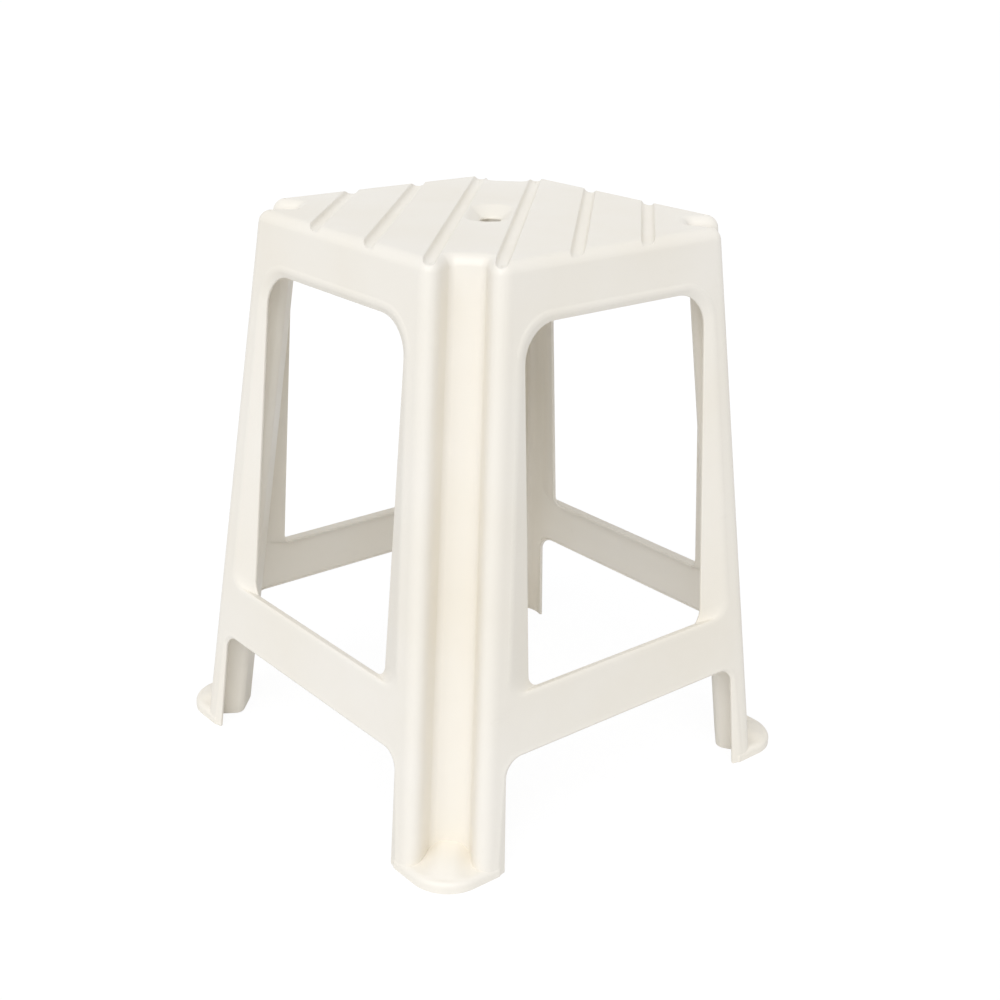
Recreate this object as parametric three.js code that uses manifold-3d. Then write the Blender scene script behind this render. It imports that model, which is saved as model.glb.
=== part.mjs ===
// A stacking stool moulded in one piece of plastic, with a slatted square seat,
// four fluted corner legs and an open frame on each side.
// Millimetres, +Z up. The origin is the middle of the stool on the floor.
// The front leg stands at +X -Y, and the seat's grooves run from it to the back leg.

import * as THREE from "three";
import { ConvexGeometry } from "three/addons/geometries/ConvexGeometry.js";
import { mergeVertices } from "three/addons/utils/BufferGeometryUtils.js";
import Module from "manifold-3d";

const wasm = await Module();
wasm.setup();

// Whole stool
const stoolHeight = 450;
const seatHalfWidth = 144.5; // outer wall plane at the height of the seat's top
const floorHalfWidth = 189; // outer wall plane at the floor
const wall = 2.7; // thickness of the moulding
const seam = 0.3; // clearance between neighbouring regions
const overrun = 20; // how far a cutting shape runs past what it cuts

// Corner section: a rounded nose on each wall with a flute between the two
const noseRadius = 10;
const fluteRadius = 5; // of the two corners beside the flute's flat bottom
const noseTurn = (122 * Math.PI) / 180; // from the wall round the nose to the flute's flank
const noseSetbackAtSeat = 46; // from the square corner to the nose's centre
const noseSetbackAtFloor = 50;
const fluteDepthAtSeat = 51; // from the square corner to the flute's bottom, along the diagonal
const fluteDepthAtFloor = 56;

// Rolled edge of the seat
const rollRadius = 8.4;
const seatEdgeWidth = 8.9;

// Seat slats and grooves
const slatPitchShare = 0.3377; // of the seat's half width
const grooveWidth = 9;
const grooveFloorLap = 2.5; // how far a groove's floor reaches under the slats beside it
const grooveCount = 6;

// Hand hole in the middle slat, a funnel that ends in a slot
const funnelLength = 72;
const funnelMargin = 2.9; // flat plastic between the funnel and the groove beside it
const slotLength = 36;
const slotWidth = 16;
const funnelDepth = 7;

// Ribs under the seat, across the grooves
const ribThickness = 2.5;
const ribHeight = 12;
const ribOffsetShare = 0.5; // of the seat's half width, towards the front and back legs

// Window in each side: the fold where the wall turns inwards, and the flange's inner edge
const apronHeight = 39; // from the seat's top down to the fold
const stretcherTop = 139; // the fold at the window's foot
const windowMarginTop = 8; // flat wall between the nose and the fold
const windowMarginBottom = 10.5;
const foldRadiusTop = 30;
const foldRadiusBottom = 14;
const windowFlangeWidthTop = 5; // from the fold to the flange's inner edge, sideways
const windowFlangeWidthBottom = 24.4;
const windowFlangeDropTop = 6; // the same, downwards
const windowFlangeDropBottom = 2.5;
const windowRadiusTop = 28;
const windowRadiusBottom = 9;
const windowDepthTop = 1.8; // from the wall's outer face to the flange's inner edge
const windowDepthBottom = 7.5;

// Arch under each stretcher, with a fold and a flange as round the window
const stretcherBottom = 92; // the fold at the arch's top
const archMarginTop = 7.7;
const archMarginFloor = 5;
const archFlangeWidthTop = 2;
const archFlangeWidthFloor = 8;
const archFlangeDrop = 2;
const archRadius = 15;
const archDepthTop = 0.9;
const archDepthFloor = 1.6;

// Where a flange's root is sunk into the wall
const rootOverlap = 0.8;
const rootDepthShare = 1 / 6;

// Feet: a flat slab with a low ramp up into the flute, hollowed from below
const footThickness = 9;
const footCornerRadius = 32;
const rampEndSetback = 17.3; // from the square corner, along the diagonal
const rampRootSetback = 67.3;
const rampHalfWidth = 20;
const rampRise = 6.4;
const rampRun = 18; // how far the ramp's front slopes back over its rise
const rampFlankRun = 12; // how far its flanks slope inwards
const rampSkin = 4.5; // thickness of the ramp, measured straight down
const pocketHalfWidth = 13;
const pocketEndMargin = 5; // from the ramp's end back to the pocket's

// Where the straight sides end and the corners begin, just clear of the windows' flanges
const cornerMargin = 1;
const legSplitShare = 0.475; // of the stool's height, where a leg is divided in two regions

// Steps round curves
const noseSteps = 7;
const fluteSteps = 3;
const rollSteps = 4;
const cornerSteps = 6;
const slotSteps = 8;

// Colour and finish
const ivory = "#efece2";
const satinRoughness = 0.42;

const quarterTurn = Math.PI / 2;
const diagonal = Math.PI / 4;
const sideNames = ["front_left", "front_right", "back_right", "back_left"];
const cornerNames = ["front", "right", "back", "left"];

// Solids

function toSolid(geometry) {
  const bare = geometry.clone();
  bare.deleteAttribute("normal");
  bare.deleteAttribute("uv");
  const merged = mergeVertices(bare);
  return new wasm.Manifold(
    new wasm.Mesh({
      numProp: 3,
      vertProperties: merged.attributes.position.array,
      triVerts: new Uint32Array(merged.index.array),
    }),
  );
}

function toGeometry(solid) {
  const mesh = solid.getMesh();
  const geometry = new THREE.BufferGeometry();
  geometry.setAttribute("position", new THREE.BufferAttribute(mesh.vertProperties, 3));
  geometry.setIndex(new THREE.BufferAttribute(mesh.triVerts, 1));
  return geometry;
}

// Joins each ring of points to the next, and the last to the first, into a closed skin.
function closedBand(rings) {
  const count = rings[0].length;
  const positions = rings.flat().flatMap((point) => [point.x, point.y, point.z]);
  const indices = [];
  for (let i = 0; i < rings.length; i++) {
    const here = i * count;
    const next = ((i + 1) % rings.length) * count;
    for (let j = 0; j < count; j++) {
      const k = (j + 1) % count;
      indices.push(here + j, here + k, next + k);
      indices.push(here + j, next + k, next + j);
    }
  }
  const geometry = new THREE.BufferGeometry();
  geometry.setAttribute("position", new THREE.Float32BufferAttribute(positions, 3));
  geometry.setIndex(indices);
  return geometry;
}

function plate(points, bottom, top) {
  const geometry = new THREE.ExtrudeGeometry(new THREE.Shape(points), {
    depth: top - bottom,
    bevelEnabled: false,
    steps: 1,
  });
  return geometry.translate(0, 0, bottom);
}

function block(x0, x1, y0, y1, z0, z1) {
  const geometry = new THREE.BoxGeometry(x1 - x0, y1 - y0, z1 - z0);
  return geometry.translate((x0 + x1) / 2, (y0 + y1) / 2, (z0 + z1) / 2);
}

// Outlines

function between(atFloor, atSeat, height) {
  return THREE.MathUtils.lerp(atFloor, atSeat, height / stoolHeight);
}

function halfWidth(height) {
  return between(floorHalfWidth, seatHalfWidth, height);
}

function noseSetback(height) {
  return between(noseSetbackAtFloor, noseSetbackAtSeat, height);
}

// Half the width between the two noses of a side, less a margin of flat wall.
function flatHalfWidth(height, margin) {
  return halfWidth(height) - noseSetback(height) - margin;
}

function towards(angle) {
  return new THREE.Vector2(Math.sin(angle), Math.cos(angle));
}

// One fluted corner in plan, as distances in from the two wall planes: round a nose, down the
// flute's flank and round into its flat bottom, then the same mirrored.
function cornerCurve(height, inset) {
  const noseCentre = new THREE.Vector2(noseSetback(height), noseRadius);
  const half = [];
  for (let i = 0; i <= noseSteps; i++) {
    const facing = towards((noseTurn * i) / noseSteps);
    half.push(noseCentre.clone().addScaledVector(facing, inset - noseRadius));
  }
  const depth = between(fluteDepthAtFloor, fluteDepthAtSeat, height);
  const fluteCentre = new THREE.Vector2((depth - fluteRadius) * Math.SQRT1_2, 0);
  fluteCentre.y = fluteCentre.x;
  const flank = towards(noseTurn);
  const reach = flank.dot(noseCentre) - noseRadius - fluteRadius - flank.dot(fluteCentre);
  const acrossFlute = new THREE.Vector2(1, -1);
  fluteCentre.addScaledVector(acrossFlute, reach / flank.dot(acrossFlute));
  for (let i = 0; i <= fluteSteps; i++) {
    const facing = towards(THREE.MathUtils.lerp(noseTurn, diagonal, i / fluteSteps));
    half.push(fluteCentre.clone().addScaledVector(facing, fluteRadius + inset));
  }
  const mirrored = half.map((point) => new THREE.Vector2(point.y, point.x)).reverse();
  return [...half, ...mirrored];
}

// The whole plan outline at a height, moved inwards by the inset.
function outline(height, inset) {
  const plane = halfWidth(height);
  const front = cornerCurve(height, inset).map(
    (point) => new THREE.Vector2(plane - point.x, point.y - plane),
  );
  const origin = new THREE.Vector2();
  return [0, 1, 2, 3].flatMap((turn) =>
    front.map((point) => point.clone().rotateAround(origin, turn * quarterTurn)),
  );
}

function ring(height, inset, level = height) {
  return outline(height, inset).map((point) => new THREE.Vector3(point.x, point.y, level));
}

// A polygon with rounded corners, each corner given as x, y and radius.
function roundedOutline(corners, steps) {
  const points = [];
  corners.forEach(([x, y, radius], i) => {
    const corner = new THREE.Vector2(x, y);
    const before = corners.at(i - 1);
    const after = corners[(i + 1) % corners.length];
    const toBefore = new THREE.Vector2(before[0] - x, before[1] - y).normalize();
    const toAfter = new THREE.Vector2(after[0] - x, after[1] - y).normalize();
    if (radius === 0) {
      points.push(corner);
      return;
    }
    const halfAngle = Math.acos(toBefore.dot(toAfter)) / 2;
    const middle = toBefore.clone().add(toAfter).normalize();
    const centre = corner.clone().addScaledVector(middle, radius / Math.sin(halfAngle));
    const start = corner.clone().addScaledVector(toBefore, radius / Math.tan(halfAngle));
    const arm = start.sub(centre);
    const sweep = Math.PI - 2 * halfAngle;
    const sense = Math.sign(toAfter.cross(toBefore));
    for (let j = 0; j <= steps; j++) {
      const turned = arm.clone().rotateAround(new THREE.Vector2(), (sense * sweep * j) / steps);
      points.push(centre.clone().add(turned));
    }
  });
  return points;
}

// A slot with round ends along the grooves, which run at a half right angle.
function slot(length, width) {
  const end = (length - width) / 2;
  const points = [];
  for (const [side, start] of [
    [1, -quarterTurn],
    [-1, quarterTurn],
  ]) {
    for (let i = 0; i <= slotSteps; i++) {
      const angle = start + (Math.PI * i) / slotSteps;
      points.push(
        new THREE.Vector2(
          side * end + (width / 2) * Math.cos(angle),
          (width / 2) * Math.sin(angle),
        ),
      );
    }
  }
  return points.map((point) => point.rotateAround(new THREE.Vector2(), -diagonal));
}

// Side walls, all four joined at first: the tapering skin with its windows and arches

const shellTop = stoolHeight - rollRadius;
const shellBottom = footThickness + seam;

const skin = toSolid(
  closedBand([
    ring(shellBottom, 0),
    ring(shellTop, 0),
    ring(shellTop, wall),
    ring(shellBottom, wall),
  ]),
);

// A tapering opening with rounded corners, drawn flat, that can be grown outwards.
function opening(top, bottom, halfTop, halfBottom, radiusTop, radiusBottom) {
  return (grow) =>
    roundedOutline(
      [
        [-halfBottom - grow, bottom - grow, radiusBottom + grow],
        [halfBottom + grow, bottom - grow, radiusBottom + grow],
        [halfTop + grow, top + grow, radiusTop + grow],
        [-halfTop - grow, top + grow, radiusTop + grow],
      ],
      cornerSteps,
    );
}

const foldTop = stoolHeight - apronHeight;
const foldHalfWidthTop = flatHalfWidth(foldTop, windowMarginTop);
const foldHalfWidthBottom = flatHalfWidth(stretcherTop, windowMarginBottom);
const windowTop = foldTop - windowFlangeDropTop;
const windowBottom = stretcherTop - windowFlangeDropBottom;
const windowHalfWidthTop = foldHalfWidthTop - windowFlangeWidthTop;
const windowHalfWidthBottom = foldHalfWidthBottom - windowFlangeWidthBottom;

const windowFold = opening(
  foldTop,
  stretcherTop,
  foldHalfWidthTop,
  foldHalfWidthBottom,
  foldRadiusTop,
  foldRadiusBottom,
);
const windowEdge = opening(
  windowTop,
  windowBottom,
  windowHalfWidthTop,
  windowHalfWidthBottom,
  windowRadiusTop,
  windowRadiusBottom,
);

// The arches run on below the floor, where the legs are trimmed.
function archOpening(top, halfTop, halfFloor) {
  const halfBelow = halfFloor + ((halfFloor - halfTop) * overrun) / top;
  return opening(top, -overrun, halfTop, halfBelow, archRadius, archRadius);
}

const archFoldHalfWidthTop = flatHalfWidth(stretcherBottom, archMarginTop);
const archFoldHalfWidthFloor = flatHalfWidth(0, archMarginFloor);
const archEdgeTop = stretcherBottom - archFlangeDrop;
const archHalfWidthTop = archFoldHalfWidthTop - archFlangeWidthTop;
const archHalfWidthFloor = archFoldHalfWidthFloor - archFlangeWidthFloor;

const archFold = archOpening(stretcherBottom, archFoldHalfWidthTop, archFoldHalfWidthFloor);
const archEdge = archOpening(archEdgeTop, archHalfWidthTop, archHalfWidthFloor);

function windowDepth(height) {
  const share = (height - windowBottom) / (windowTop - windowBottom);
  return THREE.MathUtils.lerp(windowDepthBottom, windowDepthTop, share);
}

function archDepth(height) {
  return THREE.MathUtils.lerp(archDepthFloor, archDepthTop, height / archEdgeTop);
}

// A cutter through the front left wall, inside an outline drawn on that wall.
function sideCutter(points) {
  const geometry = plate(points, 0, floorHalfWidth);
  geometry.rotateX(quarterTurn);
  return geometry.translate(0, -seatHalfWidth / 2, 0);
}

// Sets a curve on the front left wall, at a depth behind its outer face.
function onWall(points, depthAt) {
  return points.map(
    (point) => new THREE.Vector3(point.x, depthAt(point.y) - halfWidth(point.y), point.y),
  );
}

// The edge of an opening, turned inwards from a fold in the wall.
function flange(fold, edge, depthAt) {
  const rootDepth = wall * rootDepthShare;
  return closedBand([
    onWall(fold(rootOverlap), () => rootDepth),
    onWall(edge(0), depthAt),
    onWall(edge(wall), (height) => depthAt(height) + wall),
    onWall(fold(rootOverlap + wall), () => wall - rootDepth),
  ]);
}

function turned(geometry, quarters) {
  return geometry.clone().rotateZ(quarters * quarterTurn);
}

const sideCuts = [sideCutter(windowFold(0)), sideCutter(archFold(0))];
const sideFlanges = [
  flange(windowFold, windowEdge, windowDepth),
  flange(archFold, archEdge, archDepth),
];

let shell = skin;
sideNames.forEach((side, quarters) => {
  for (const cut of sideCuts) {
    shell = shell.subtract(toSolid(turned(cut, quarters)));
  }
  for (const band of sideFlanges) {
    shell = shell.add(toSolid(turned(band, quarters)));
  }
});

// The corner and side regions that the skin is divided into

const outer = floorHalfWidth + overrun;
const cornerLine = Math.min(windowHalfWidthTop, windowHalfWidthBottom) - cornerMargin;
const cornerStart = cornerLine + seam / 2;
const sideEnd = cornerLine - seam / 2;
const highLevel = (windowTop + windowBottom) / 2;

const spaceTop = stoolHeight + overrun;
const splitLevel = stoolHeight * legSplitShare;
const upperLegBottom = splitLevel + seam / 2;
const lowerLegTop = splitLevel - seam / 2;
const upperCornerSpace = block(cornerStart, outer, -outer, -cornerStart, upperLegBottom, spaceTop);
const lowerCornerSpace = block(cornerStart, outer, -outer, -cornerStart, shellBottom, lowerLegTop);
const upperSideSpace = block(-sideEnd, sideEnd, -outer, -cornerStart, highLevel, spaceTop);
const lowerSideSpace = block(-sideEnd, sideEnd, -outer, -cornerStart, shellBottom, highLevel);

const upperLeg = shell.intersect(toSolid(upperCornerSpace));
const lowerLeg = shell.intersect(toSolid(lowerCornerSpace));
const apron = shell.intersect(toSolid(upperSideSpace));
const stretcher = shell.intersect(toSolid(lowerSideSpace));

// Foot: a slab under the leg that rounds the corner off, and a ramp up into the flute

const footOutline = roundedOutline(
  [
    [archHalfWidthFloor, -floorHalfWidth, 0],
    [floorHalfWidth, -floorHalfWidth, footCornerRadius],
    [floorHalfWidth, -archHalfWidthFloor, 0],
    [archHalfWidthFloor, -archHalfWidthFloor, 0],
  ],
  cornerSteps,
);

// A solid between two outlines with as many points each.
function loft(lower, upper) {
  const geometry = closedBand([lower, upper]);
  const sides = Array.from(geometry.index.array).slice(0, lower.length * 6);
  const count = lower.length;
  const faces = THREE.ShapeUtils.triangulateShape(lower, []);
  const bottom = faces.flatMap(([a, b, c]) => [a, c, b]);
  const top = faces.flatMap(([a, b, c]) => [a + count, b + count, c + count]);
  geometry.setIndex([...sides, ...bottom, ...top]);
  return geometry;
}

const cornerReach = floorHalfWidth * Math.SQRT2;
const rampEnd = cornerReach - rampEndSetback;
const rampRoot = cornerReach - rampRootSetback;

// The ramp is drawn pointing along +X, then turned to the front corner.
function ramp(drop) {
  const low = footThickness - drop;
  const points = [];
  for (const side of [-1, 1]) {
    for (const level of [-drop, low]) {
      points.push(new THREE.Vector3(rampRoot, side * rampHalfWidth, level));
      points.push(new THREE.Vector3(rampEnd, side * rampHalfWidth, level));
    }
    const flank = side * (rampHalfWidth - rampFlankRun);
    points.push(new THREE.Vector3(rampRoot, flank, low + rampRise));
    points.push(new THREE.Vector3(rampEnd - rampRun, flank, low + rampRise));
  }
  return toSolid(new ConvexGeometry(points).rotateZ(-diagonal));
}

const rampTop = footThickness + rampRise;
const legSpace = toSolid(loft(ring(footThickness, -seam), ring(rampTop + overrun, -seam)));
const pocketEnd = rampEnd - pocketEndMargin;
const pocket = ramp(rampSkin)
  .intersect(
    toSolid(
      block(rampRoot, pocketEnd, -pocketHalfWidth, pocketHalfWidth, -overrun, rampTop).rotateZ(
        -diagonal,
      ),
    ),
  )
  .subtract(toSolid(plate(outline(0, 0), -overrun, footThickness)));
const foot = ramp(0)
  .intersect(toSolid(plate(footOutline, 0, rampTop + overrun)))
  .subtract(legSpace)
  .add(toSolid(plate(footOutline, 0, footThickness)))
  .subtract(toSolid(plate(outline(0, wall), -overrun, footThickness + overrun)))
  .subtract(pocket);

// Rolled edge of the seat, with the grooves running out through it

const slatBottom = stoolHeight - wall;
const grooveLevel = slatBottom - seam;
const grooveFloorBottom = grooveLevel - wall;
const edgeBottom = shellTop + seam;
const slatPitch = seatHalfWidth * slatPitchShare;

const rollRings = [];
for (let i = 0; i <= rollSteps; i++) {
  const angle = (quarterTurn * i) / rollSteps;
  const level = shellTop + rollRadius * Math.sin(angle);
  const inset = rollRadius * (1 - Math.cos(angle));
  rollRings.push(ring(Math.max(level, edgeBottom), inset));
}

function grooveCutter(index) {
  const offset = (index - (grooveCount - 1) / 2) * slatPitch;
  const geometry = block(
    -2 * outer,
    2 * outer,
    offset - grooveWidth / 2,
    offset + grooveWidth / 2,
    grooveLevel,
    stoolHeight + overrun,
  );
  return toSolid(geometry.rotateZ(-diagonal));
}

let seatEdge = toSolid(
  closedBand([
    ...rollRings,
    ring(stoolHeight, seatEdgeWidth),
    ring(stoolHeight, seatEdgeWidth, grooveFloorBottom),
    ring(stoolHeight, wall, grooveFloorBottom),
    ring(stoolHeight, wall, edgeBottom),
  ]),
);
for (let i = 0; i < grooveCount; i++) {
  seatEdge = seatEdge.subtract(grooveCutter(i));
}

// Slats and groove floors, kept clear of the rolled edge

const seatField = toSolid(
  plate(outline(stoolHeight, seatEdgeWidth + seam), grooveFloorBottom, stoolHeight),
);

function fieldStrip(from, to, bottom, top) {
  const geometry = block(-2 * outer, 2 * outer, from, to, bottom, top);
  return seatField.intersect(toSolid(geometry.rotateZ(-diagonal)));
}

const funnelWidth = slatPitch - grooveWidth - 2 * funnelMargin;
const funnelSpace = toSolid(
  plate(
    slot(funnelLength + 2 * seam, funnelWidth + 2 * seam),
    grooveFloorBottom - overrun,
    stoolHeight + overrun,
  ),
);

const slats = [];
for (let i = 0; i <= grooveCount; i++) {
  const centre = (i - grooveCount / 2) * slatPitch;
  const half = (slatPitch - grooveWidth) / 2;
  const isFirst = i === 0;
  const isLast = i === grooveCount;
  const from = isFirst ? -outer : centre - half;
  const to = isLast ? outer : centre + half;
  slats.push(fieldStrip(from, to, slatBottom, stoolHeight).subtract(funnelSpace));
}

const grooveFloors = [];
for (let i = 0; i < grooveCount; i++) {
  const centre = (i - (grooveCount - 1) / 2) * slatPitch;
  const half = grooveWidth / 2 + grooveFloorLap;
  grooveFloors.push(fieldStrip(centre - half, centre + half, grooveFloorBottom, grooveLevel));
}

// Funnel round the hand hole

function slotRing(length, width, level) {
  return slot(length, width).map((point) => new THREE.Vector3(point.x, point.y, level));
}

const slotLevel = stoolHeight - funnelDepth;
const funnel = closedBand([
  slotRing(funnelLength, funnelWidth, slatBottom),
  slotRing(funnelLength, funnelWidth, stoolHeight),
  slotRing(slotLength, slotWidth, slotLevel),
  slotRing(slotLength, slotWidth, slotLevel - wall),
]);

// Ribs under the groove floors

const ribOffset = seatHalfWidth * ribOffsetShare;
const ribTop = grooveFloorBottom - seam;
const ribBottom = ribTop - ribHeight;
const insideWalls = toSolid(
  plate(outline(stoolHeight, wall + seam), ribBottom - overrun, stoolHeight),
);
const rib = insideWalls.intersect(
  toSolid(
    block(
      ribOffset - ribThickness / 2,
      ribOffset + ribThickness / 2,
      -outer,
      outer,
      ribBottom,
      ribTop,
    ).rotateZ(-diagonal),
  ),
);

// The stool

const stool = new THREE.Group();
stool.name = "stacking_stool";

function addRegion(name, geometry, quarters = 0) {
  const material = new THREE.MeshStandardMaterial({
    color: ivory,
    roughness: satinRoughness,
    metalness: 0,
  });
  const mesh = new THREE.Mesh(geometry, material);
  mesh.name = name;
  mesh.rotation.z = quarters * quarterTurn;
  stool.add(mesh);
}

sideNames.forEach((side, quarters) => {
  addRegion(`apron_${side}`, toGeometry(apron), quarters);
  addRegion(`stretcher_${side}`, toGeometry(stretcher), quarters);
  const space = toSolid(turned(upperSideSpace, quarters));
  addRegion(`seat_edge_${side}`, toGeometry(seatEdge.intersect(space)));
});

cornerNames.forEach((corner, quarters) => {
  addRegion(`upper_leg_${corner}`, toGeometry(upperLeg), quarters);
  addRegion(`lower_leg_${corner}`, toGeometry(lowerLeg), quarters);
  addRegion(`foot_${corner}`, toGeometry(foot), quarters);
  const space = toSolid(turned(upperCornerSpace, quarters));
  addRegion(`seat_corner_${corner}`, toGeometry(seatEdge.intersect(space)));
});

slats.forEach((slat, i) => addRegion(`seat_slat_${i + 1}`, toGeometry(slat)));
grooveFloors.forEach((floor, i) => addRegion(`groove_floor_${i + 1}`, toGeometry(floor)));
addRegion("hand_hole_funnel", funnel);
addRegion("under_rib_front", toGeometry(rib));
addRegion("under_rib_back", toGeometry(rib), 2);

export default stool;
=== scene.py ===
# %% [markdown]
# # A moulded stacking stool
#
# The real stool leaves its mould in one piece: a skin of plastic under three
# millimetres thick, folded by the mould into a slatted seat, four fluted legs,
# open sides and toe-shaped feet. It is modelled here in the same spirit. One
# block is shaped into the stool's outside, and the outside then gets a wall.

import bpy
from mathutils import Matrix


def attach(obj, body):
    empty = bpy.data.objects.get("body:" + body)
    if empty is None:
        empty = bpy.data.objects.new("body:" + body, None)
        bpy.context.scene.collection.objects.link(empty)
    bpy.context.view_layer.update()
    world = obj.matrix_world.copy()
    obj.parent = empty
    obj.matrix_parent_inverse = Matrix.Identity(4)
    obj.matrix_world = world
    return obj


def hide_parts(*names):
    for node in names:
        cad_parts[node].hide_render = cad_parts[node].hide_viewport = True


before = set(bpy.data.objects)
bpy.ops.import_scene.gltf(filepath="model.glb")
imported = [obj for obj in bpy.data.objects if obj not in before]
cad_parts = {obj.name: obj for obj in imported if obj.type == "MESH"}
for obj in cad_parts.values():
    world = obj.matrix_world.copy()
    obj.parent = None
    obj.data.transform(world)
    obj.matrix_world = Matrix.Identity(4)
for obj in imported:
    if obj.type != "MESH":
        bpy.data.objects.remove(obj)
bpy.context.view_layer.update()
print("Solid model:", len(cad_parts), "nodes")

# %% [markdown]
# ## Camera
#
# The camera stands in front of one leg and a little above the seat, where the
# photograph was taken from. Its place was solved from the stool's own edges. A
# camera can be turned by eye or built from three directions. Directions are
# exact, so they are used.

# %% Camera
import math

import bpy
from mathutils import Matrix, Vector

MM = 0.001

azimuth = math.radians(50.67)
elevation = math.radians(21.74)
roll_angle = math.radians(-1.2)
camera_place = Vector((889.34, -740.86, 668.96)) * MM
backwards = Vector(
    (
        math.sin(azimuth) * math.cos(elevation),
        -math.cos(azimuth) * math.cos(elevation),
        math.sin(elevation),
    )
)
level_right = Vector((math.cos(azimuth), math.sin(azimuth), 0))
level_up = backwards.cross(level_right)
right = level_right * math.cos(roll_angle) - level_up * math.sin(roll_angle)
up = level_right * math.sin(roll_angle) + level_up * math.cos(roll_angle)

bpy.ops.object.select_all(action="DESELECT")
bpy.ops.object.camera_add()
camera = bpy.context.object
camera.name = "camera"
camera.matrix_world = Matrix(
    (
        (right.x, up.x, backwards.x, camera_place.x),
        (right.y, up.y, backwards.y, camera_place.y),
        (right.z, up.z, backwards.z, camera_place.z),
        (0, 0, 0, 1),
    )
)
camera.data.sensor_width = 36
camera.data.lens = 53.68
camera.data.shift_x = 0.0282
camera.data.shift_y = 0.0026
bpy.context.scene.camera = camera
print("Camera at", tuple(round(value, 3) for value in camera_place))

# %% [markdown]
# ## The block
#
# Seen from afar the stool is a block that tapers towards the seat. A cube is
# added at that size and its top face is drawn in. The block runs on below the
# floor, so that the arches between the legs can be drawn as closed shapes, and
# is trimmed at the floor later.
#
# Points, edges and faces are picked by their place with the small helpers below.
# Places are compared with a little room, because the operators leave tiny
# rounding errors.

# %% Helpers for picking by place
import bmesh

HAIR = 0.01 * MM
NEARLY = 0.1 * MM
SHORTEST_UPRIGHT = 400 * MM


def choose(piece):
    bpy.ops.object.select_all(action="DESELECT")
    piece.select_set(True)
    bpy.context.view_layer.objects.active = piece


def open_mesh(piece):
    choose(piece)
    bpy.ops.object.mode_set(mode="EDIT")
    bpy.ops.mesh.select_all(action="DESELECT")


def close_mesh():
    bpy.ops.object.mode_set(mode="OBJECT")


def pick(kind, test):
    """Selects only the points ("VERT"), edges ("EDGE") or faces ("FACE") that pass."""
    bpy.ops.mesh.select_all(action="DESELECT")
    bpy.ops.mesh.select_mode(type=kind)
    mesh = bmesh.from_edit_mesh(bpy.context.object.data)
    parts = {"VERT": mesh.verts, "EDGE": mesh.edges, "FACE": mesh.faces}[kind]
    found = [part for part in parts if test(part)]
    for part in found:
        part.select_set(True)
    mesh.select_flush_mode()
    bmesh.update_edit_mesh(bpy.context.object.data)
    return len(found)


def picked_place():
    mesh = bmesh.from_edit_mesh(bpy.context.object.data)
    places = [point.co for point in mesh.verts if point.select]
    return sum(places, Vector()) / len(places)


def middle(edge):
    return (edge.verts[0].co + edge.verts[1].co) / 2


def lowest(part):
    return min(point.co.z for point in part.verts)


def highest(part):
    return max(point.co.z for point in part.verts)


def is_upright(edge):
    return highest(edge) - lowest(edge) > SHORTEST_UPRIGHT


def is_open(edge):
    return edge.is_boundary or edge.is_wire


# %% Tapered block
SEAT_HEIGHT = 450 * MM
SEAT_HALF = 144.5 * MM
FLOOR_HALF = 189 * MM
WALL_LEAN = math.atan((FLOOR_HALF - SEAT_HALF) / SEAT_HEIGHT)
BLOCK_BOTTOM = -30 * MM


def half_width(height):
    return FLOOR_HALF + (SEAT_HALF - FLOOR_HALF) * height / SEAT_HEIGHT


widest = 2 * half_width(BLOCK_BOTTOM)
bpy.ops.object.select_all(action="DESELECT")
bpy.ops.mesh.primitive_cube_add(
    size=1,
    location=(0, 0, (SEAT_HEIGHT + BLOCK_BOTTOM) / 2),
    scale=(widest, widest, SEAT_HEIGHT - BLOCK_BOTTOM),
)
body = bpy.context.object
body.name = "moulded_body"
bpy.ops.object.transform_apply(location=True, rotation=True, scale=True)
open_mesh(body)
pick("FACE", lambda face: face.normal.z > 0.9)
draw_in = 2 * SEAT_HALF / widest
bpy.ops.transform.resize(value=(draw_in, draw_in, 1), center_override=(0, 0, SEAT_HEIGHT))
close_mesh()
print("Block of", len(body.data.vertices), "points")

# %% [markdown]
# ## Fluted corners
#
# Each leg is stiffened by its section: the two walls end in a rounded nose, and
# a flute with a flat bottom runs up between them. A corner is first cut back to a
# square notch by a bevel that is hollow instead of round, and a second bevel cuts
# the notch's inner edge flat. The edges are then moved to where the section has
# its sharp points and rounded. The section is smaller at the seat than at the
# floor, so each end of an edge has a place of its own.

# %% Notches
NOSE_RADIUS = 10 * MM
NOSE_TURN = math.radians(122)
NOTCH_FLAT = 10 * MM
NOSE_SETBACKS = (50, 46)  # at the floor and at the seat, in millimetres
FLUTE_DEPTHS = (56, 51)
POINT_REACH = 3 * MM


def corner_points(height):
    """The sharp nose and the flute's sharp corner, as distances in from the two walls."""
    share = height / SEAT_HEIGHT
    setback, depth = (
        (floor + (seat - floor) * share) * MM for floor, seat in (NOSE_SETBACKS, FLUTE_DEPTHS)
    )
    nose = setback - NOSE_RADIUS * math.tan(NOSE_TURN / 2)
    flank = (depth * math.sqrt(2) - nose) / (math.sin(NOSE_TURN) - math.cos(NOSE_TURN))
    return (nose, 0), (nose - flank * math.cos(NOSE_TURN), flank * math.sin(NOSE_TURN))


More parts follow.
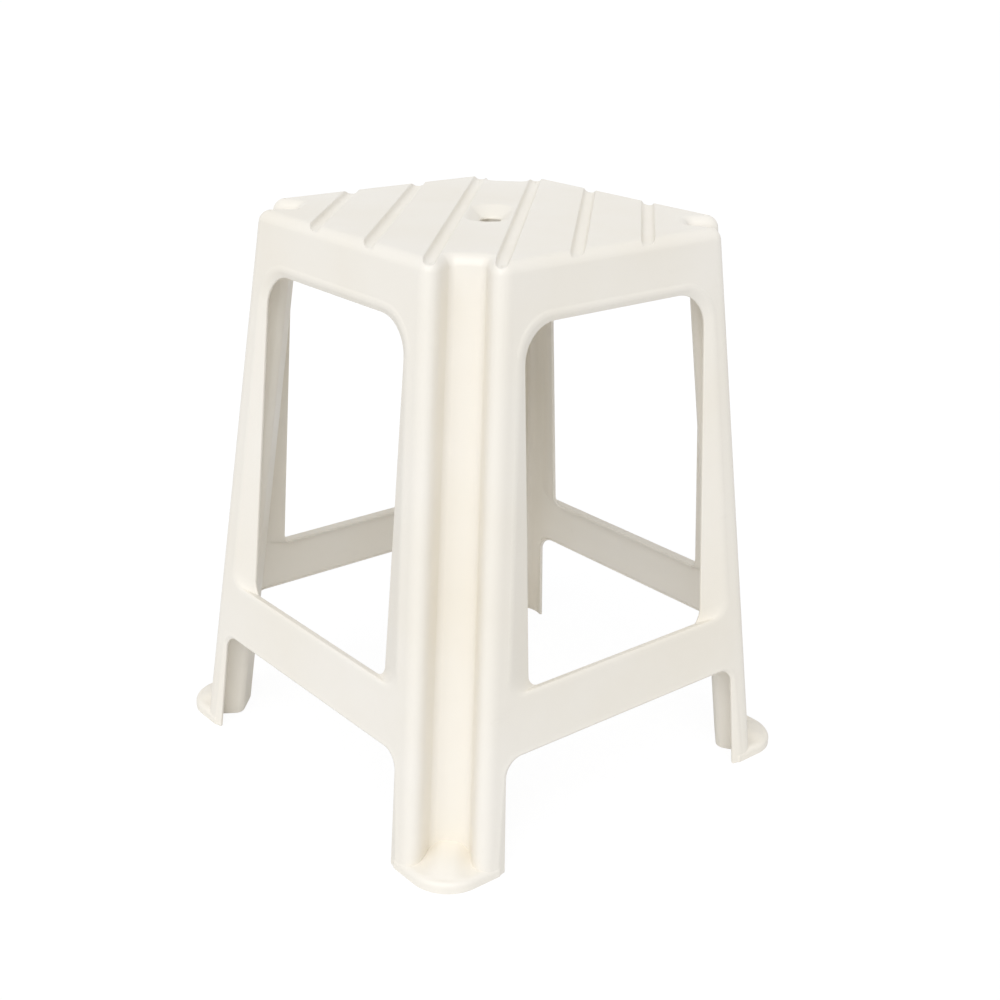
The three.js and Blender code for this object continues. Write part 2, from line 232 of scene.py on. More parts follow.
notch = corner_points(BLOCK_BOTTOM)[0][0]
open_mesh(body)
pick("EDGE", is_upright)
bpy.ops.mesh.bevel(offset=notch, segments=2, profile=0, affect="EDGES", clamp_overlap=False)
pick("EDGE", lambda edge: is_upright(edge) and abs(abs(middle(edge).x) - abs(middle(edge).y)) < MM)
bpy.ops.mesh.bevel(offset=NOTCH_FLAT, segments=1, affect="EDGES", clamp_overlap=False)
for height in (BLOCK_BOTTOM, SEAT_HEIGHT):
    for side_x in (-1, 1):
        for side_y in (-1, 1):
            corner = Vector((side_x, side_y, 0)) * half_width(height)
            corner.z = height
            for was, goal in zip(((notch, 0), (notch, notch - NOTCH_FLAT)), corner_points(height)):
                for here, there in ((was, goal), (was[::-1], goal[::-1])):
                    near = corner - Vector((side_x * here[0], side_y * here[1], 0))
                    place = corner - Vector((side_x * there[0], side_y * there[1], 0))
                    pick("VERT", lambda point: (point.co - near).length < POINT_REACH)
                    bpy.ops.transform.translate(value=place - picked_place())
print("Flute's corner lies", [round(value / MM, 1) for value in goal], "mm in at the seat")

# %% Rounded noses and flutes
FLUTE_RADIUS = 5 * MM
NOSE_STEPS = 12
FLUTE_STEPS = 6
WALL_REACH = 0.3 * MM


def on_wall(place):
    return abs(max(abs(place.x), abs(place.y)) - half_width(place.z)) < WALL_REACH


flutes = pick("EDGE", lambda edge: is_upright(edge) and not on_wall(middle(edge)))
bpy.ops.mesh.bevel(
    offset=FLUTE_RADIUS * math.tan((NOSE_TURN - math.pi / 4) / 2),
    segments=FLUTE_STEPS,
    affect="EDGES",
    clamp_overlap=False,
)
noses = pick("EDGE", lambda edge: is_upright(edge) and on_wall(middle(edge)))
bpy.ops.mesh.bevel(
    offset=NOSE_RADIUS * math.tan(NOSE_TURN / 2),
    segments=NOSE_STEPS,
    affect="EDGES",
    clamp_overlap=False,
)
close_mesh()
print("Rounded", flutes, "flute corners and", noses, "noses")

# %% [markdown]
# ## A core for later
#
# The feet are fitted against the legs' outside further on. The block is whole
# now, so a copy is put by as the tool to cut them with, drawn in by a hair so
# that a foot sinks into the leg and no gap shows.

# %% Core
SINK = 1 * MM

choose(body)
bpy.ops.object.duplicate()
core = bpy.context.object
core.name = "core"
sink_scale = 1 - SINK / FLOOR_HALF
core.scale = (sink_scale, sink_scale, 1)
bpy.ops.object.transform_apply(location=True, rotation=True, scale=True)
print("Core drawn in by", SINK / MM, "mm")

# %% [markdown]
# ## Rolled edge of the seat
#
# The seat turns over into the walls with a radius of more than nine millimetres,
# which catches a bright line of light all the way round. A bevel of the top rim
# makes it. Clamping is off, because the rim's edges round a nose are shorter
# than the bevel, although the radii leave room for it.

# %% Rolled edge
ROLL = 9.5 * MM
ROLL_STEPS = 10

open_mesh(body)
pick("FACE", lambda face: face.normal.z < -0.9)
bpy.ops.mesh.delete(type="ONLY_FACE")
rim = pick("EDGE", lambda edge: lowest(edge) > SEAT_HEIGHT - NEARLY)
print(rim, "rim edges to roll")
bpy.ops.mesh.bevel(
    offset=ROLL * math.tan((math.pi / 2 - WALL_LEAN) / 2),
    segments=ROLL_STEPS,
    affect="EDGES",
    clamp_overlap=False,
)

# %% [markdown]
# ## Hand hole
#
# The middle slat has a soft funnel that narrows to a slot for two fingers. The
# seat's face is taken away, a circle is pulled apart into a slot for the rim, and
# the gap between the two is filled. The seat's outline is crowded on top of the
# noses, where the roll uses nearly their whole radius, so those points are merged
# before the filling. The rim is then extruded down in steps, with its two round
# ends drawn in and pushed together at each step.

# %% Funnel and slot
HOLE_SECTIONS = (  # half of the straight part, radius of the ends and height, in millimetres
    (19.0, 18.4, 450.0),
    (19.0, 17.6, 449.85),
    (18.7, 16.6, 449.4),
    (18.1, 15.7, 448.8),
    (14.4, 12.3, 446.3),
    (10.8, 9.0, 443.9),
    (10.2, 8.3, 443.1),
    (10.0, 8.0, 442.3),
    (10.0, 8.0, 441.6),
)
HOLE_POINTS = 48
HOLE_REACH = 45 * MM
NOSE_MERGE = 1.2 * MM
SEAT_AREA = 0.01  # square metres, less than the seat's and more than any other flat face's
ALONG = Vector((1, -1, 0)).normalized()
ACROSS = Vector((1, 1, 0)).normalized()


def shape_end(side, was, now, factor, height):
    """Draws one round end of the open loop in, and moves its centre along the slot."""
    pick(
        "VERT",
        lambda point: abs(point.co.z - height) < HAIR
        and point.co.xy.length < HOLE_REACH
        and side * point.co.dot(ALONG) > 0
        and all(is_open(edge) or highest(edge) > height for edge in point.link_edges),
    )
    bpy.ops.transform.resize(value=(factor, factor, 1), center_override=ALONG * side * was)
    bpy.ops.transform.translate(value=ALONG * side * (now - was))


pick("VERT", lambda point: point.co.z > SEAT_HEIGHT - HAIR)
bpy.ops.mesh.remove_doubles(threshold=NOSE_MERGE)
pick("FACE", lambda face: face.normal.z > 0.99 and face.calc_area() > SEAT_AREA)
bpy.ops.mesh.delete(type="ONLY_FACE")
straight, radius, height = (value * MM for value in HOLE_SECTIONS[0])
bpy.ops.mesh.primitive_circle_add(
    vertices=HOLE_POINTS,
    radius=radius,
    location=(0, 0, height),
    rotation=(0, 0, math.pi / 4 + math.pi / HOLE_POINTS),
)
for side in (-1, 1):
    shape_end(side, 0, straight, 1, height)
pick("EDGE", lambda edge: is_open(edge) and lowest(edge) > SEAT_HEIGHT - HAIR)
bpy.ops.mesh.fill(use_beauty=True)
for here, below in zip(HOLE_SECTIONS, HOLE_SECTIONS[1:]):
    straight, radius, height = here
    next_straight, next_radius, next_height = below
    pick(
        "EDGE",
        lambda edge: is_open(edge)
        and abs(lowest(edge) - height * MM) < HAIR
        and middle(edge).xy.length < HOLE_REACH,
    )
    bpy.ops.mesh.extrude_region_move(
        TRANSFORM_OT_translate={"value": (0, 0, (next_height - height) * MM)}
    )
    for side in (-1, 1):
        shape_end(side, straight * MM, next_straight * MM, next_radius / radius, next_height * MM)
close_mesh()
print("Funnel of", len(HOLE_SECTIONS), "sections")

# %% [markdown]
# ## Open sides
#
# Each wall has a tall window and an arch under its stretcher. Round both, the
# wall folds inwards into a flange that stiffens the edge, wider towards the
# floor. A frame is drawn on its own: three tapered outlines with round corners,
# bridged into a strip of flat wall and a flange, and a bevel along the fold. At
# its top the fold stands a little proud of the wall, as a fine lip that catches
# the light. The frames are copied to the four sides, and the wall between them is
# filled.

# %% Drawing an outline
CORNER_STEPS = 9


def wall_place(sideways, height, depth):
    return Vector((sideways, depth - half_width(height), height))


def draw_outline(name, heights, halves, radii, depths):
    """Draws a tapered outline in the front left wall from its top and bottom values."""
    bpy.ops.object.select_all(action="DESELECT")
    bpy.ops.mesh.primitive_plane_add(size=2, rotation=(math.pi / 2, 0, 0))
    outline = bpy.context.object
    bpy.ops.object.transform_apply(location=True, rotation=True, scale=True)
    open_mesh(outline)
    for side_x in (-1, 1):
        for side_z, height, half, depth in zip((1, -1), heights, halves, depths):
            start = Vector((side_x, 0, side_z))
            pick("VERT", lambda point: (point.co - start).length < 0.1)
            goal = wall_place(side_x * half * MM, height * MM, depth * MM)
            bpy.ops.transform.translate(value=goal - start)
    lean = math.atan((halves[1] - halves[0]) / (heights[0] - heights[1]))
    for height, radius, opened in zip(heights, radii, (lean, -lean)):
        pick("VERT", lambda point: radius and abs(point.co.z - height * MM) < 1 * MM)
        bpy.ops.mesh.bevel(
            offset=radius * MM / math.tan((math.pi / 2 + opened) / 2),
            segments=CORNER_STEPS,
            affect="VERTICES",
        )
    bpy.ops.mesh.select_all(action="SELECT")
    bpy.ops.mesh.delete(type="ONLY_FACE")
    close_mesh()
    group = outline.vertex_groups.new(name=name)
    group.add(range(len(outline.data.vertices)), 1, "REPLACE")
    return outline


# %% Bridging outlines into a frame
BORDER = 4


def pick_groups(piece, *names):
    bpy.ops.mesh.select_all(action="DESELECT")
    bpy.ops.mesh.select_mode(type="VERT")
    for name in names:
        piece.vertex_groups.active_index = piece.vertex_groups[name].index
        bpy.ops.object.vertex_group_select()


def join(name, *parts):
    choose(parts[0])
    for part in parts:
        part.select_set(True)
    bpy.ops.object.join()
    parts[0].name = name
    return parts[0]


def draw_frame(name, fold, edge, lip, depths, fold_round):
    """A frame from its fold and its inner edge, each given as heights, halves and radii."""
    heights, halves, radii = fold
    border = (
        (heights[0] + BORDER, heights[1] - BORDER),
        (halves[0] + BORDER, halves[1] + BORDER),
        tuple(radius and radius + BORDER for radius in radii),
    )
    piece = join(
        name,
        draw_outline("border", *border, (0, 0)),
        draw_outline("fold", *fold, (-lip, lip / 4)),
        draw_outline("edge", *edge, depths),
    )
    open_mesh(piece)
    for pair in (("border", "fold"), ("fold", "edge")):
        pick_groups(piece, *pair)
        bpy.ops.mesh.bridge_edge_loops()
    pick_groups(piece, "fold")
    bpy.ops.mesh.select_mode(type="EDGE")
    bpy.ops.mesh.bevel(
        offset=fold_round * MM, segments=4, affect="EDGES", clamp_overlap=False
    )
    close_mesh()
    print(name, "has", len(piece.data.polygons), "faces")
    return piece


window = draw_frame(
    "window",
    fold=((411, 139), (94, 116), (30, 14)),
    edge=((405, 137), (89, 91.6), (28, 9)),
    lip=1.3,
    depths=(1.8, 7.5),
    fold_round=2.8,
)
arch = draw_frame(
    "arch",
    fold=((92, -20), (123, 136.4), (15, 0)),
    edge=((90, -20), (121, 127.1), (15, 0)),
    lip=0.8,
    depths=(0.9, 2),
    fold_round=1,
)

# %% Frames on all four sides
PLAIN_WALL_AREA = 0.03  # square metres

frames = join("frames", window, arch)
open_mesh(frames)
bpy.ops.mesh.select_all(action="SELECT")
for quarter in range(3):
    bpy.ops.mesh.duplicate()
    bpy.ops.transform.rotate(value=math.pi / 2, orient_axis="Z", center_override=(0, 0, 0))
close_mesh()
join("moulded_body", body, frames)
open_mesh(body)
walls = pick(
    "FACE", lambda face: face.calc_area() > PLAIN_WALL_AREA and abs(face.normal.z) < 0.3
)
print(walls, "plain walls taken out")
bpy.ops.mesh.delete(type="ONLY_FACE")

# %% Walls filled between their frames
FLAT = 0.02 * MM

for axis in (0, 1):
    for side in (-1, 1):
        pick(
            "EDGE",
            lambda edge: is_open(edge)
            and all(
                abs(side * point.co[axis] - half_width(point.co.z)) < FLAT
                for point in edge.verts
            ),
        )
        bpy.ops.mesh.fill(use_beauty=True)
bpy.ops.mesh.select_all(action="SELECT")
bpy.ops.mesh.bisect(plane_co=(0, 0, 0), plane_no=(0, 0, 1), clear_inner=True)
bpy.ops.mesh.select_all(action="SELECT")
bpy.ops.mesh.normals_make_consistent(inside=False)
close_mesh()
body.vertex_groups.clear()
print("Outside of the stool has", len(body.data.polygons), "faces")

# %% [markdown]
# ## The wall's thickness
#
# So far the stool is a surface without thickness. Solidify gives it a wall of
# 2.7 millimetres inwards. The sharp rims of the windows, the arches, the slot
# and the legs are then rounded, because a moulded rim is never sharp and shows
# as a thin bright line.

# %% Wall and rims
WALL = 2.7 * MM
RIM_ROUND = 0.9 * MM
RIM_ANGLE = math.radians(62)


def apply_modifier(piece, kind, **settings):
    choose(piece)
    modifier = piece.modifiers.new(kind.lower(), kind)
    for setting, value in settings.items():
        setattr(modifier, setting, value)
    bpy.ops.object.modifier_apply(modifier=modifier.name)


apply_modifier(body, "SOLIDIFY", thickness=WALL, offset=-1)
open_mesh(body)
pick("VERT", lambda point: point.co.z < 0.5 * MM)
bpy.ops.transform.resize(value=(1, 1, 0), center_override=(0, 0, 0))
rims = pick(
    "EDGE",
    lambda edge: edge.is_manifold
    and highest(edge) < SEAT_HEIGHT - ROLL
    and edge.calc_face_angle() > RIM_ANGLE,
)
print(rims, "rim edges to round")
bpy.ops.mesh.bevel(
    offset=RIM_ROUND, segments=3, affect="EDGES", clamp_overlap=False, miter_outer="ARC"
)
close_mesh()

# %% [markdown]
# ## Grooves
#
# Six grooves run from the front leg's side of the seat to the back leg's side
# and out through the rolled edge. They could be cut out with boxes, but the real
# ones have soft shoulders. So the seat is sliced along each groove, and every
# point of it is pressed down to the groove's level at that place, unless it lies
# lower already. That also gives the grooves their round ends in the rolled edge.
# The underside is pressed the same way but a little wider, so that the wall
# keeps its thickness and the grooves show as ridges from below.
#
# The finished moulding is shaded smooth wherever its faces meet at a flat angle.
# Weighted normals let the large flat faces keep their own direction, so that the
# rounds beside them don't bend the light on them.

# %% Slicing and pressing the grooves
GROOVE_PITCH = 48.8 * MM
GROOVE_COUNT = 6
GROOVE_PROFILE = (  # half width and depth, in millimetres
    (5.9, 0.0),
    (5.5, 0.12),
    (5.1, 0.45),
    (4.75, 1.05),
    (4.4, 1.8),
    (3.9, 2.6),
    (3.2, 3.3),
    (2.2, 3.8),
    (1.1, 4.05),
    (0.0, 4.1),
)
WIDER_BELOW = 1.9


def groove_depth(offset, wider):
    """The depth at a distance from a groove's middle, in metres."""
    previous_half, previous_depth = GROOVE_PROFILE[0]
    for half, depth in GROOVE_PROFILE[1:]:
        if offset > (half + wider) * MM:
            share = (previous_half + wider - offset / MM) / (previous_half - half)
            return (previous_depth + max(share, 0) * (depth - previous_depth)) * MM
        previous_half, previous_depth = half, depth
    return previous_depth * MM


def press_grooves(piece, surface_height, facing, wider):
    lines = [(i - (GROOVE_COUNT - 1) / 2) * GROOVE_PITCH for i in range(GROOVE_COUNT)]
    open_mesh(piece)

    def is_seat(face):
        return lowest(face) > surface_height - 1.2 * ROLL and face.normal.z * facing > 0.02

    for line in lines:
        for half, depth in GROOVE_PROFILE:
            for side in (-1, 1):
                pick("FACE", is_seat)
                bpy.ops.mesh.bisect(
                    plane_co=ACROSS * (line + side * (half + wider) * MM), plane_no=ACROSS
                )
    mesh = bmesh.from_edit_mesh(piece.data)
    points = {point for face in mesh.faces if is_seat(face) for point in face.verts}
    for point in points:
        offset = min(abs(point.co.dot(ACROSS) - line) for line in lines)
        level = surface_height - groove_depth(offset, wider)
        point.co.z = min(point.co.z, level)
    bmesh.update_edit_mesh(piece.data)
    close_mesh()
    print(piece.name, "pressed at", len(points), "points")


press_grooves(body, SEAT_HEIGHT - WALL, -1, WIDER_BELOW)
press_grooves(body, SEAT_HEIGHT, 1, 0)

# %% Smooth surfaces


def smooth(piece, degrees=35):
    choose(piece)
    bpy.ops.object.shade_smooth_by_angle(angle=math.radians(degrees))
    apply_modifier(piece, "WEIGHTED_NORMAL", keep_sharp=True)


smooth(body)
print("Moulded body has", len(body.data.polygons), "faces")

# %% [markdown]
# ## Feet
#
# Each leg stands on a toe: a slab with a soft rim that rounds the square corner off,
# and a low dome that runs up into the flute. A dome could be a squeezed sphere, but
# then its foot would meet the plate in a crease. The plate's top is sliced into a
# grid instead and lifted by a smooth curve, so that rim and dome are one surface.
# The leg's core is cut away, and the dome is hollowed from below.

# %% Plate of a toe
TOE_THICKNESS = 9 * MM
TOE_RADIUS = 32 * MM
TOE_INNER = 131 * MM
TOE_END_ROUND = 2 * MM
TOE_EDGE_ROUND = 4.5 * MM
TOE_SOLE_ROUND = 0.4 * MM
TOE_CORNERS = (  # where the corner lies along the diagonal in millimetres, radius and steps
    (260, 270, TOE_RADIUS, 20),
    (200, 230, TOE_END_ROUND, 4),
)


def draw_plate(name, bottom, top):
    """A block under the front leg, from where its arches end to the square corner."""
    centre = (FLOOR_HALF + TOE_INNER) / 2
    bpy.ops.object.select_all(action="DESELECT")
    bpy.ops.mesh.primitive_cube_add(
        size=1,
        location=(centre, -centre, (bottom + top) / 2),
        scale=(FLOOR_HALF - TOE_INNER, FLOOR_HALF - TOE_INNER, top - bottom),
    )
    plate = bpy.context.object
    plate.name = name
    bpy.ops.object.transform_apply(location=True, rotation=True, scale=True)
    return plate


toe = draw_plate("toe_front", 0, TOE_THICKNESS)
open_mesh(toe)
for nearest, farthest, radius, steps in TOE_CORNERS:
    pick(
        "EDGE",
        lambda edge: nearest * MM < middle(edge).dot(ALONG) < farthest * MM
        and highest(edge) - lowest(edge) > MM,
    )
    bpy.ops.mesh.bevel(offset=radius, segments=steps, affect="EDGES", clamp_overlap=False)
pick("EDGE", lambda edge: lowest(edge) > TOE_THICKNESS - NEARLY)
bpy.ops.mesh.bevel(offset=TOE_EDGE_ROUND, segments=7, affect="EDGES", clamp_overlap=False)
pick("EDGE", lambda edge: highest(edge) < NEARLY)
bpy.ops.mesh.bevel(offset=TOE_SOLE_ROUND, segments=2, affect="EDGES", clamp_overlap=False)
close_mesh()
print("Plate has", len(toe.data.polygons), "faces")

# %% Dome lifted from the plate
DOME_RISE = 6.8 * MM
DOME_ROOT = 196 * MM
DOME_SHOULDER = 209 * MM
DOME_END = 249 * MM
DOME_CROWN_HALF = 4 * MM
DOME_HALF = 19 * MM
DOME_STEP = 1.5 * MM


def dome_rise(place):
    """How far the dome stands over the plate: an arch along the diagonal, a bell across it."""
    forward = (place.dot(ALONG) - DOME_SHOULDER) / (DOME_END - DOME_SHOULDER)
    sideways = (abs(place.dot(ACROSS)) - DOME_CROWN_HALF) / (DOME_HALF - DOME_CROWN_HALF)
    forward = min(max(forward, 0), 1)
    sideways = min(max(sideways, 0), 1)
    arch = 1 - forward**3
    bell = (1 + math.cos(math.pi * sideways)) / 2
    return DOME_RISE * arch * bell


def lift_dome(piece, level):
    """Slices the flat top at a level into a grid and lifts it into the dome."""
    open_mesh(piece)
    for axis, start, end in ((ALONG, DOME_ROOT, DOME_END), (ACROSS, -DOME_HALF, DOME_HALF)):
        steps = round((end - start) / DOME_STEP)
        for step in range(steps + 1):
            pick("FACE", lambda face: face.normal.z > 0.99 and lowest(face) > level - NEARLY)
            place = start + (end - start) * step / steps
            bpy.ops.mesh.bisect(plane_co=axis * place, plane_no=axis)
    mesh = bmesh.from_edit_mesh(piece.data)
    for point in mesh.verts:
        if point.co.z > level - NEARLY:
            point.co.z += dome_rise(point.co)
    bmesh.update_edit_mesh(piece.data)
    close_mesh()


lift_dome(toe, TOE_THICKNESS)
print("Toe's top has", len(toe.data.polygons), "faces")

# %% Toe fitted to the leg and hollowed
DOME_SKIN = 4.5 * MM
POCKET_HALF = 13 * MM
POCKET_END = 245 * MM
POCKET_BOTTOM = -4 * MM


def cut(piece, tool):
    apply_modifier(piece, "BOOLEAN", object=tool, operation="DIFFERENCE", solver="EXACT")
    choose(tool)
    bpy.ops.object.delete()


pocket = draw_plate("pocket", POCKET_BOTTOM, TOE_THICKNESS - DOME_SKIN)
lift_dome(pocket, TOE_THICKNESS - DOME_SKIN)
open_mesh(pocket)
for axis, place in (
    (ACROSS, POCKET_HALF),
    (-ACROSS, POCKET_HALF),
    (ALONG, POCKET_END),
    (-ALONG, -DOME_ROOT),
):
    bpy.ops.mesh.select_all(action="SELECT")
    bpy.ops.mesh.bisect(plane_co=axis * place, plane_no=axis, clear_outer=True, use_fill=True)
close_mesh()
cut(toe, pocket)
cut(toe, core)
print("Toe has", len(toe.data.polygons), "faces")

# %% Toes under all four legs
CORNERS = ("front", "right", "back", "left")

smooth(toe, 30)
toes = [toe]
for corner in CORNERS[1:]:
    choose(toes[-1])
    bpy.ops.object.duplicate()
    copy = bpy.context.object
    copy.name = "toe_" + corner
    bpy.ops.transform.rotate(value=math.pi / 2, orient_axis="Z", center_override=(0, 0, 0))
    bpy.ops.object.transform_apply(location=True, rotation=True, scale=True)
    toes.append(copy)
print("Toes:", [piece.name for piece in toes])

# %% [markdown]
# ## Ribs under the seat
#
# Two low ribs cross under the slats and keep the seat from sagging. The photograph
# doesn't show them, but a thin slatted seat of this width has them. A bar is laid
# across, trimmed by the walls and by the rolled edge, and its top is pressed by
# the grooves as the seat was, so that it meets the underside everywhere.

# %% Ribs
RIB_THICKNESS = 2.5 * MM
RIB_BOTTOM = 432 * MM
RIB_OFFSET = SEAT_HALF / 2
RIB_ROUND = 0.7 * MM

rib_top = SEAT_HEIGHT - WALL + SINK
bpy.ops.object.select_all(action="DESELECT")
bpy.ops.mesh.primitive_cube_add(
    size=1,
    location=ALONG * RIB_OFFSET + Vector((0, 0, (rib_top + RIB_BOTTOM) / 2)),
    rotation=(0, 0, math.pi / 4),
    scale=(3 * SEAT_HALF, RIB_THICKNESS, rib_top - RIB_BOTTOM),
)
rib = bpy.context.object
rib.name = "rib_front"
bpy.ops.object.transform_apply(location=True, rotation=True, scale=True)
open_mesh(rib)
for outward in (Vector((1, 0, 0)), Vector((0, -1, 0))):
    wall_normal = outward * math.cos(WALL_LEAN) + Vector((0, 0, math.sin(WALL_LEAN)))
    wall_middle = outward * (SEAT_HALF - WALL / 2) + Vector((0, 0, SEAT_HEIGHT))
    roll_normal = (outward + Vector((0, 0, 1))).normalized()
    roll_centre = outward * (SEAT_HALF - ROLL) + Vector((0, 0, SEAT_HEIGHT - ROLL))
    for place, normal in (
        (wall_middle, wall_normal),
        (roll_centre + roll_normal * (ROLL - WALL / 2), roll_normal),
    ):
        bpy.ops.mesh.select_all(action="SELECT")
        bpy.ops.mesh.bisect(plane_co=place, plane_no=normal, clear_outer=True, use_fill=True)
pick("EDGE", lambda edge: highest(edge) < RIB_BOTTOM + NEARLY)
bpy.ops.mesh.bevel(offset=RIB_ROUND, segments=3, affect="EDGES", clamp_overlap=False)
close_mesh()
press_grooves(rib, rib_top, 1, WIDER_BELOW)
smooth(rib)
choose(rib)
bpy.ops.object.duplicate()
back_rib = bpy.context.object
back_rib.name = "rib_back"
bpy.ops.transform.rotate(value=math.pi, orient_axis="Z", center_override=(0, 0, 0))
bpy.ops.object.transform_apply(location=True, rotation=True, scale=True)
print("Ribs:", rib.name, back_rib.name)

# %% [markdown]
# ## Ivory plastic
#
# The plastic is coloured right through, a warm white with a satin skin. It is
# never quite even: the colour clouds a little where the melt cooled, the gloss
# changes with handling, the seat has faint scuffs, and a fine grain from the
# mould breaks the reflections. All of it comes from noise in the piece's own
# coordinates, so it has the same scale everywhere.

# %% Plastic material
IVORY = (0.862, 0.814, 0.718, 1)
IVORY_WARM = (0.847, 0.792, 0.685, 1)
IVORY_PALE = (0.876, 0.832, 0.747, 1)
SCUFF = (0.802, 0.752, 0.660, 1)


def add_node(tree, kind, **settings):
    node = tree.nodes.new(kind)
    for name, value in settings.items():
        if name in node.inputs:
            node.inputs[name].default_value = value
        else:
            setattr(node, name, value)
    return node


def add_noise(tree, place, scale, detail, roughness=0.5):
    noise = add_node(
        tree, "ShaderNodeTexNoise", Scale=scale, Detail=detail, Roughness=roughness
    )
    tree.links.new(place, noise.inputs["Vector"])
    return noise.outputs["Fac"]


def add_ramp(tree, factor, *stops):
    ramp = add_node(tree, "ShaderNodeValToRGB")
    elements = ramp.color_ramp.elements
    while len(elements) < len(stops):
        elements.new(0.5)
    for element, (position, colour) in zip(elements, stops):
        element.position = position
        element.color = colour
    tree.links.new(factor, ramp.inputs["Fac"])
    return ramp.outputs["Color"]


def add_range(tree, factor, low, high, start=0.3, end=0.7):
    """Maps a factor from start..end to low..high."""
    spread = add_node(tree, "ShaderNodeMapRange")
    for name, value in (("From Min", start), ("From Max", end), ("To Min", low), ("To Max", high)):
        spread.inputs[name].default_value = value
    tree.links.new(factor, spread.inputs["Value"])
    return spread.outputs["Result"]


def mix_in(tree, factor, base, colour):
    """Mixes a plain colour into a base by a factor."""
    mix = add_node(tree, "ShaderNodeMix", data_type="RGBA")
    tree.links.new(factor, mix.inputs["Factor"])
    tree.links.new(base, mix.inputs[6])
    mix.inputs[7].default_value = colour
    return mix.outputs[2]


plastic = bpy.data.materials.new("ivory_plastic")
plastic.use_nodes = True
tree = plastic.node_tree
shader = tree.nodes["Principled BSDF"]
place = add_node(tree, "ShaderNodeTexCoord").outputs["Object"]

clouds = add_noise(tree, place, scale=7, detail=4)
colour = add_ramp(tree, clouds, (0.3, IVORY_WARM), (0.5, IVORY), (0.7, IVORY_PALE))
stretch = add_node(
    tree, "ShaderNodeMapping", Scale=(60, 9, 30), Rotation=(0, 0, math.radians(20))
)
tree.links.new(place, stretch.inputs["Vector"])
scratches = add_noise(tree, stretch.outputs["Vector"], scale=2.2, detail=8, roughness=0.7)
scuffs = add_range(tree, scratches, low=0, high=0.45, start=0.62, end=0.78)
colour = mix_in(tree, scuffs, colour, SCUFF)
tree.links.new(colour, shader.inputs["Base Color"])

handling = add_noise(tree, place, scale=16, detail=5, roughness=0.6)
tree.links.new(add_range(tree, handling, low=0.36, high=0.47), shader.inputs["Roughness"])
grain = add_node(tree, "ShaderNodeBump", Strength=0.25, Distance=0.05 * MM)
tree.links.new(add_noise(tree, place, scale=1400, detail=2), grain.inputs["Height"])
waves = add_node(tree, "ShaderNodeBump", Strength=0.35, Distance=0.4 * MM)
tree.links.new(add_noise(tree, place, scale=18, detail=1), waves.inputs["Height"])
tree.links.new(grain.outputs["Normal"], waves.inputs["Normal"])
tree.links.new(waves.outputs["Normal"], shader.inputs["Normal"])
shader.inputs["IOR"].default_value = 1.49

for piece in (body, *toes, rib, back_rib):
    piece.data.materials.clear()
    piece.data.materials.append(plastic)
print("Plastic on", len(toes) + 3, "pieces")

# %% [markdown]
# ## Floor and light
#
# The photograph is a packshot: everything round the stool is white. The floor and
# the world are white to the camera, and the world lights the stool more weakly, as
# a big white room does. Lamps could stand in for soft boxes one by one, but one very
# wide sun does the same everywhere on the stool. It stands left of the camera and
# low, which makes the left walls a little brighter than the right ones and leaves
# the left flank of the flute in a soft shade.

# %% Floor
FLOOR_SIZE = 60
FLOOR_COLOUR = (0.9, 0.9, 0.9, 1)
FLOOR_GLOW = 0.88
FLOOR_GLOW_STRENGTH = 1.05
WHITE = (1, 1, 1, 1)

bpy.ops.object.select_all(action="DESELECT")
bpy.ops.mesh.primitive_plane_add(size=FLOOR_SIZE)
floor = bpy.context.object
floor.name = "floor"
paper = bpy.data.materials.new("white_floor")
paper.use_nodes = True
tree = paper.node_tree
tree.nodes.clear()
diffuse = add_node(tree, "ShaderNodeBsdfDiffuse", Color=FLOOR_COLOUR)
glow = add_node(tree, "ShaderNodeEmission", Color=WHITE, Strength=FLOOR_GLOW_STRENGTH)
rays = add_node(tree, "ShaderNodeLightPath")
share = add_node(tree, "ShaderNodeMath", operation="MULTIPLY")
share.inputs[1].default_value = FLOOR_GLOW
mixed = add_node(tree, "ShaderNodeMixShader")
output = add_node(tree, "ShaderNodeOutputMaterial")
tree.links.new(rays.outputs["Is Camera Ray"], share.inputs[0])
tree.links.new(share.outputs["Value"], mixed.inputs["Fac"])
tree.links.new(diffuse.outputs["BSDF"], mixed.inputs[1])
tree.links.new(glow.outputs["Emission"], mixed.inputs[2])
tree.links.new(mixed.outputs["Shader"], output.inputs["Surface"])
floor.data.materials.append(paper)
print("Floor is", floor.dimensions.x, "m wide")

# %% World
AMBIENT = 0.53
DAYLIGHT = (0.985, 1.0, 1.035)

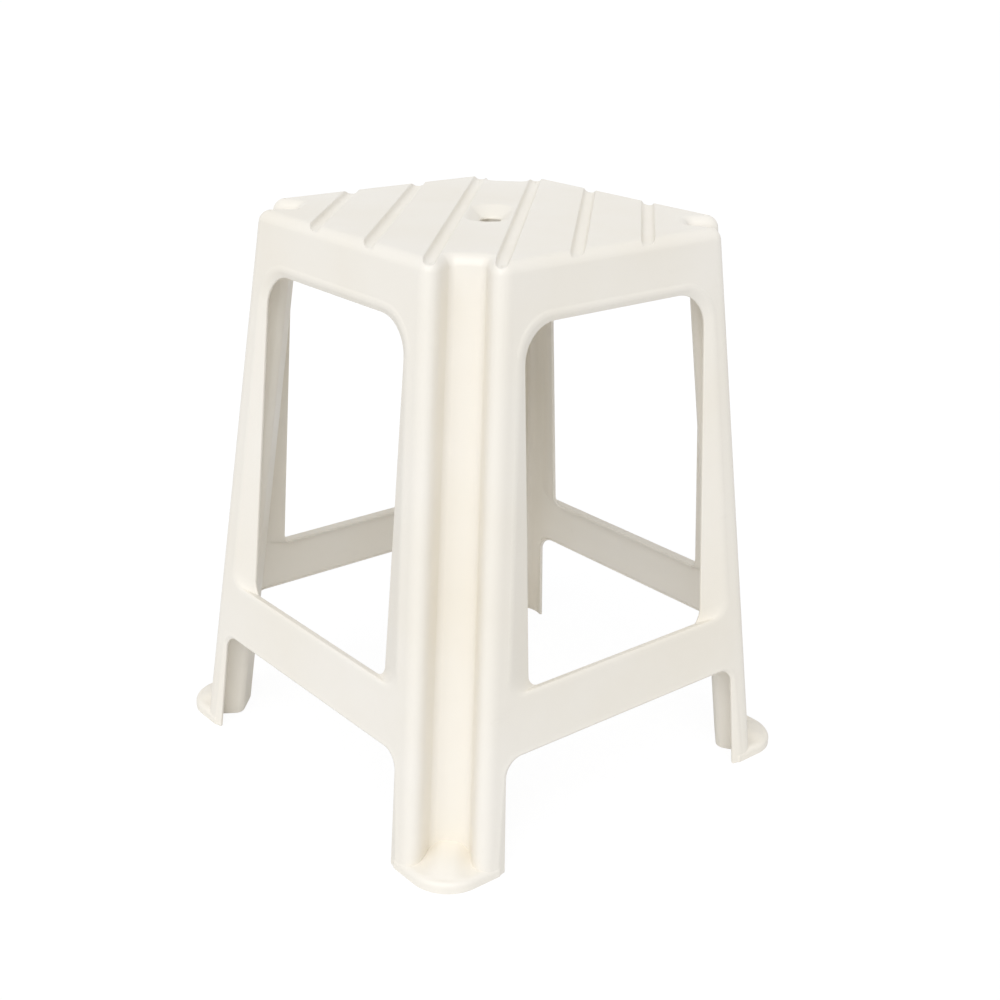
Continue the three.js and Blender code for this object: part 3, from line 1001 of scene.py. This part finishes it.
world = bpy.data.worlds.new("white_room")
bpy.context.scene.world = world
world.use_nodes = True
tree = world.node_tree
tree.nodes.clear()
room = add_node(tree, "ShaderNodeBackground", Strength=AMBIENT, Color=(*DAYLIGHT, 1))
white = add_node(tree, "ShaderNodeBackground", Strength=1, Color=WHITE)
rays = add_node(tree, "ShaderNodeLightPath")
seen = add_node(tree, "ShaderNodeMath", operation="MAXIMUM")
also = add_node(tree, "ShaderNodeMath", operation="MAXIMUM")
mixed = add_node(tree, "ShaderNodeMixShader")
output = add_node(tree, "ShaderNodeOutputWorld")
tree.links.new(rays.outputs["Is Camera Ray"], seen.inputs[0])
tree.links.new(rays.outputs["Is Glossy Ray"], seen.inputs[1])
tree.links.new(seen.outputs["Value"], also.inputs[0])
tree.links.new(rays.outputs["Is Transmission Ray"], also.inputs[1])
tree.links.new(also.outputs["Value"], mixed.inputs["Fac"])
tree.links.new(room.outputs["Background"], mixed.inputs[1])
tree.links.new(white.outputs["Background"], mixed.inputs[2])
tree.links.new(mixed.outputs["Shader"], output.inputs["Surface"])
print("World lights with", AMBIENT)

# %% Sun
SUN_DIRECTION = Vector((0.20, -0.27, 0.38))
SUN_DISTANCE = 3
SUN_STRENGTH = 1.78
SUN_WIDTH = math.radians(60)

bpy.ops.object.select_all(action="DESELECT")
bpy.ops.object.light_add(type="SUN", location=SUN_DIRECTION.normalized() * SUN_DISTANCE)
sun = bpy.context.object
sun.name = "key"
sun.rotation_euler = SUN_DIRECTION.to_track_quat("Z", "Y").to_euler()
sun.data.energy = SUN_STRENGTH
sun.data.angle = SUN_WIDTH
sun.data.color = DAYLIGHT
bpy.context.scene.view_settings.view_transform = "Standard"
print("Sun of strength", SUN_STRENGTH, "placed")

# %% [markdown]
# ## Hand over
#
# Each piece is tied to the solid model: it rides on the one rigid body and stands
# in for the nodes whose shape it shows.

# %% Hand over
SIDES = ("front_left", "front_right", "back_right", "back_left")
SIDE_REGIONS = ("apron", "stretcher", "seat_edge")
CORNER_REGIONS = ("upper_leg", "lower_leg", "seat_corner")

body_nodes = ["hand_hole_funnel"]
body_nodes += [f"{region}_{side}" for region in SIDE_REGIONS for side in SIDES]
body_nodes += [f"{region}_{corner}" for region in CORNER_REGIONS for corner in CORNERS]
body_nodes += [f"seat_slat_{number + 1}" for number in range(GROOVE_COUNT + 1)]
body_nodes += [f"groove_floor_{number + 1}" for number in range(GROOVE_COUNT)]
stand_ins = {body: body_nodes, rib: ["under_rib_front"], back_rib: ["under_rib_back"]}
stand_ins.update({piece: ["foot_" + corner] for piece, corner in zip(toes, CORNERS)})
for piece, nodes in stand_ins.items():
    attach(piece, "root")
    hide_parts(*nodes)
print("Pieces stand in for", sum(len(nodes) for nodes in stand_ins.values()), "nodes")
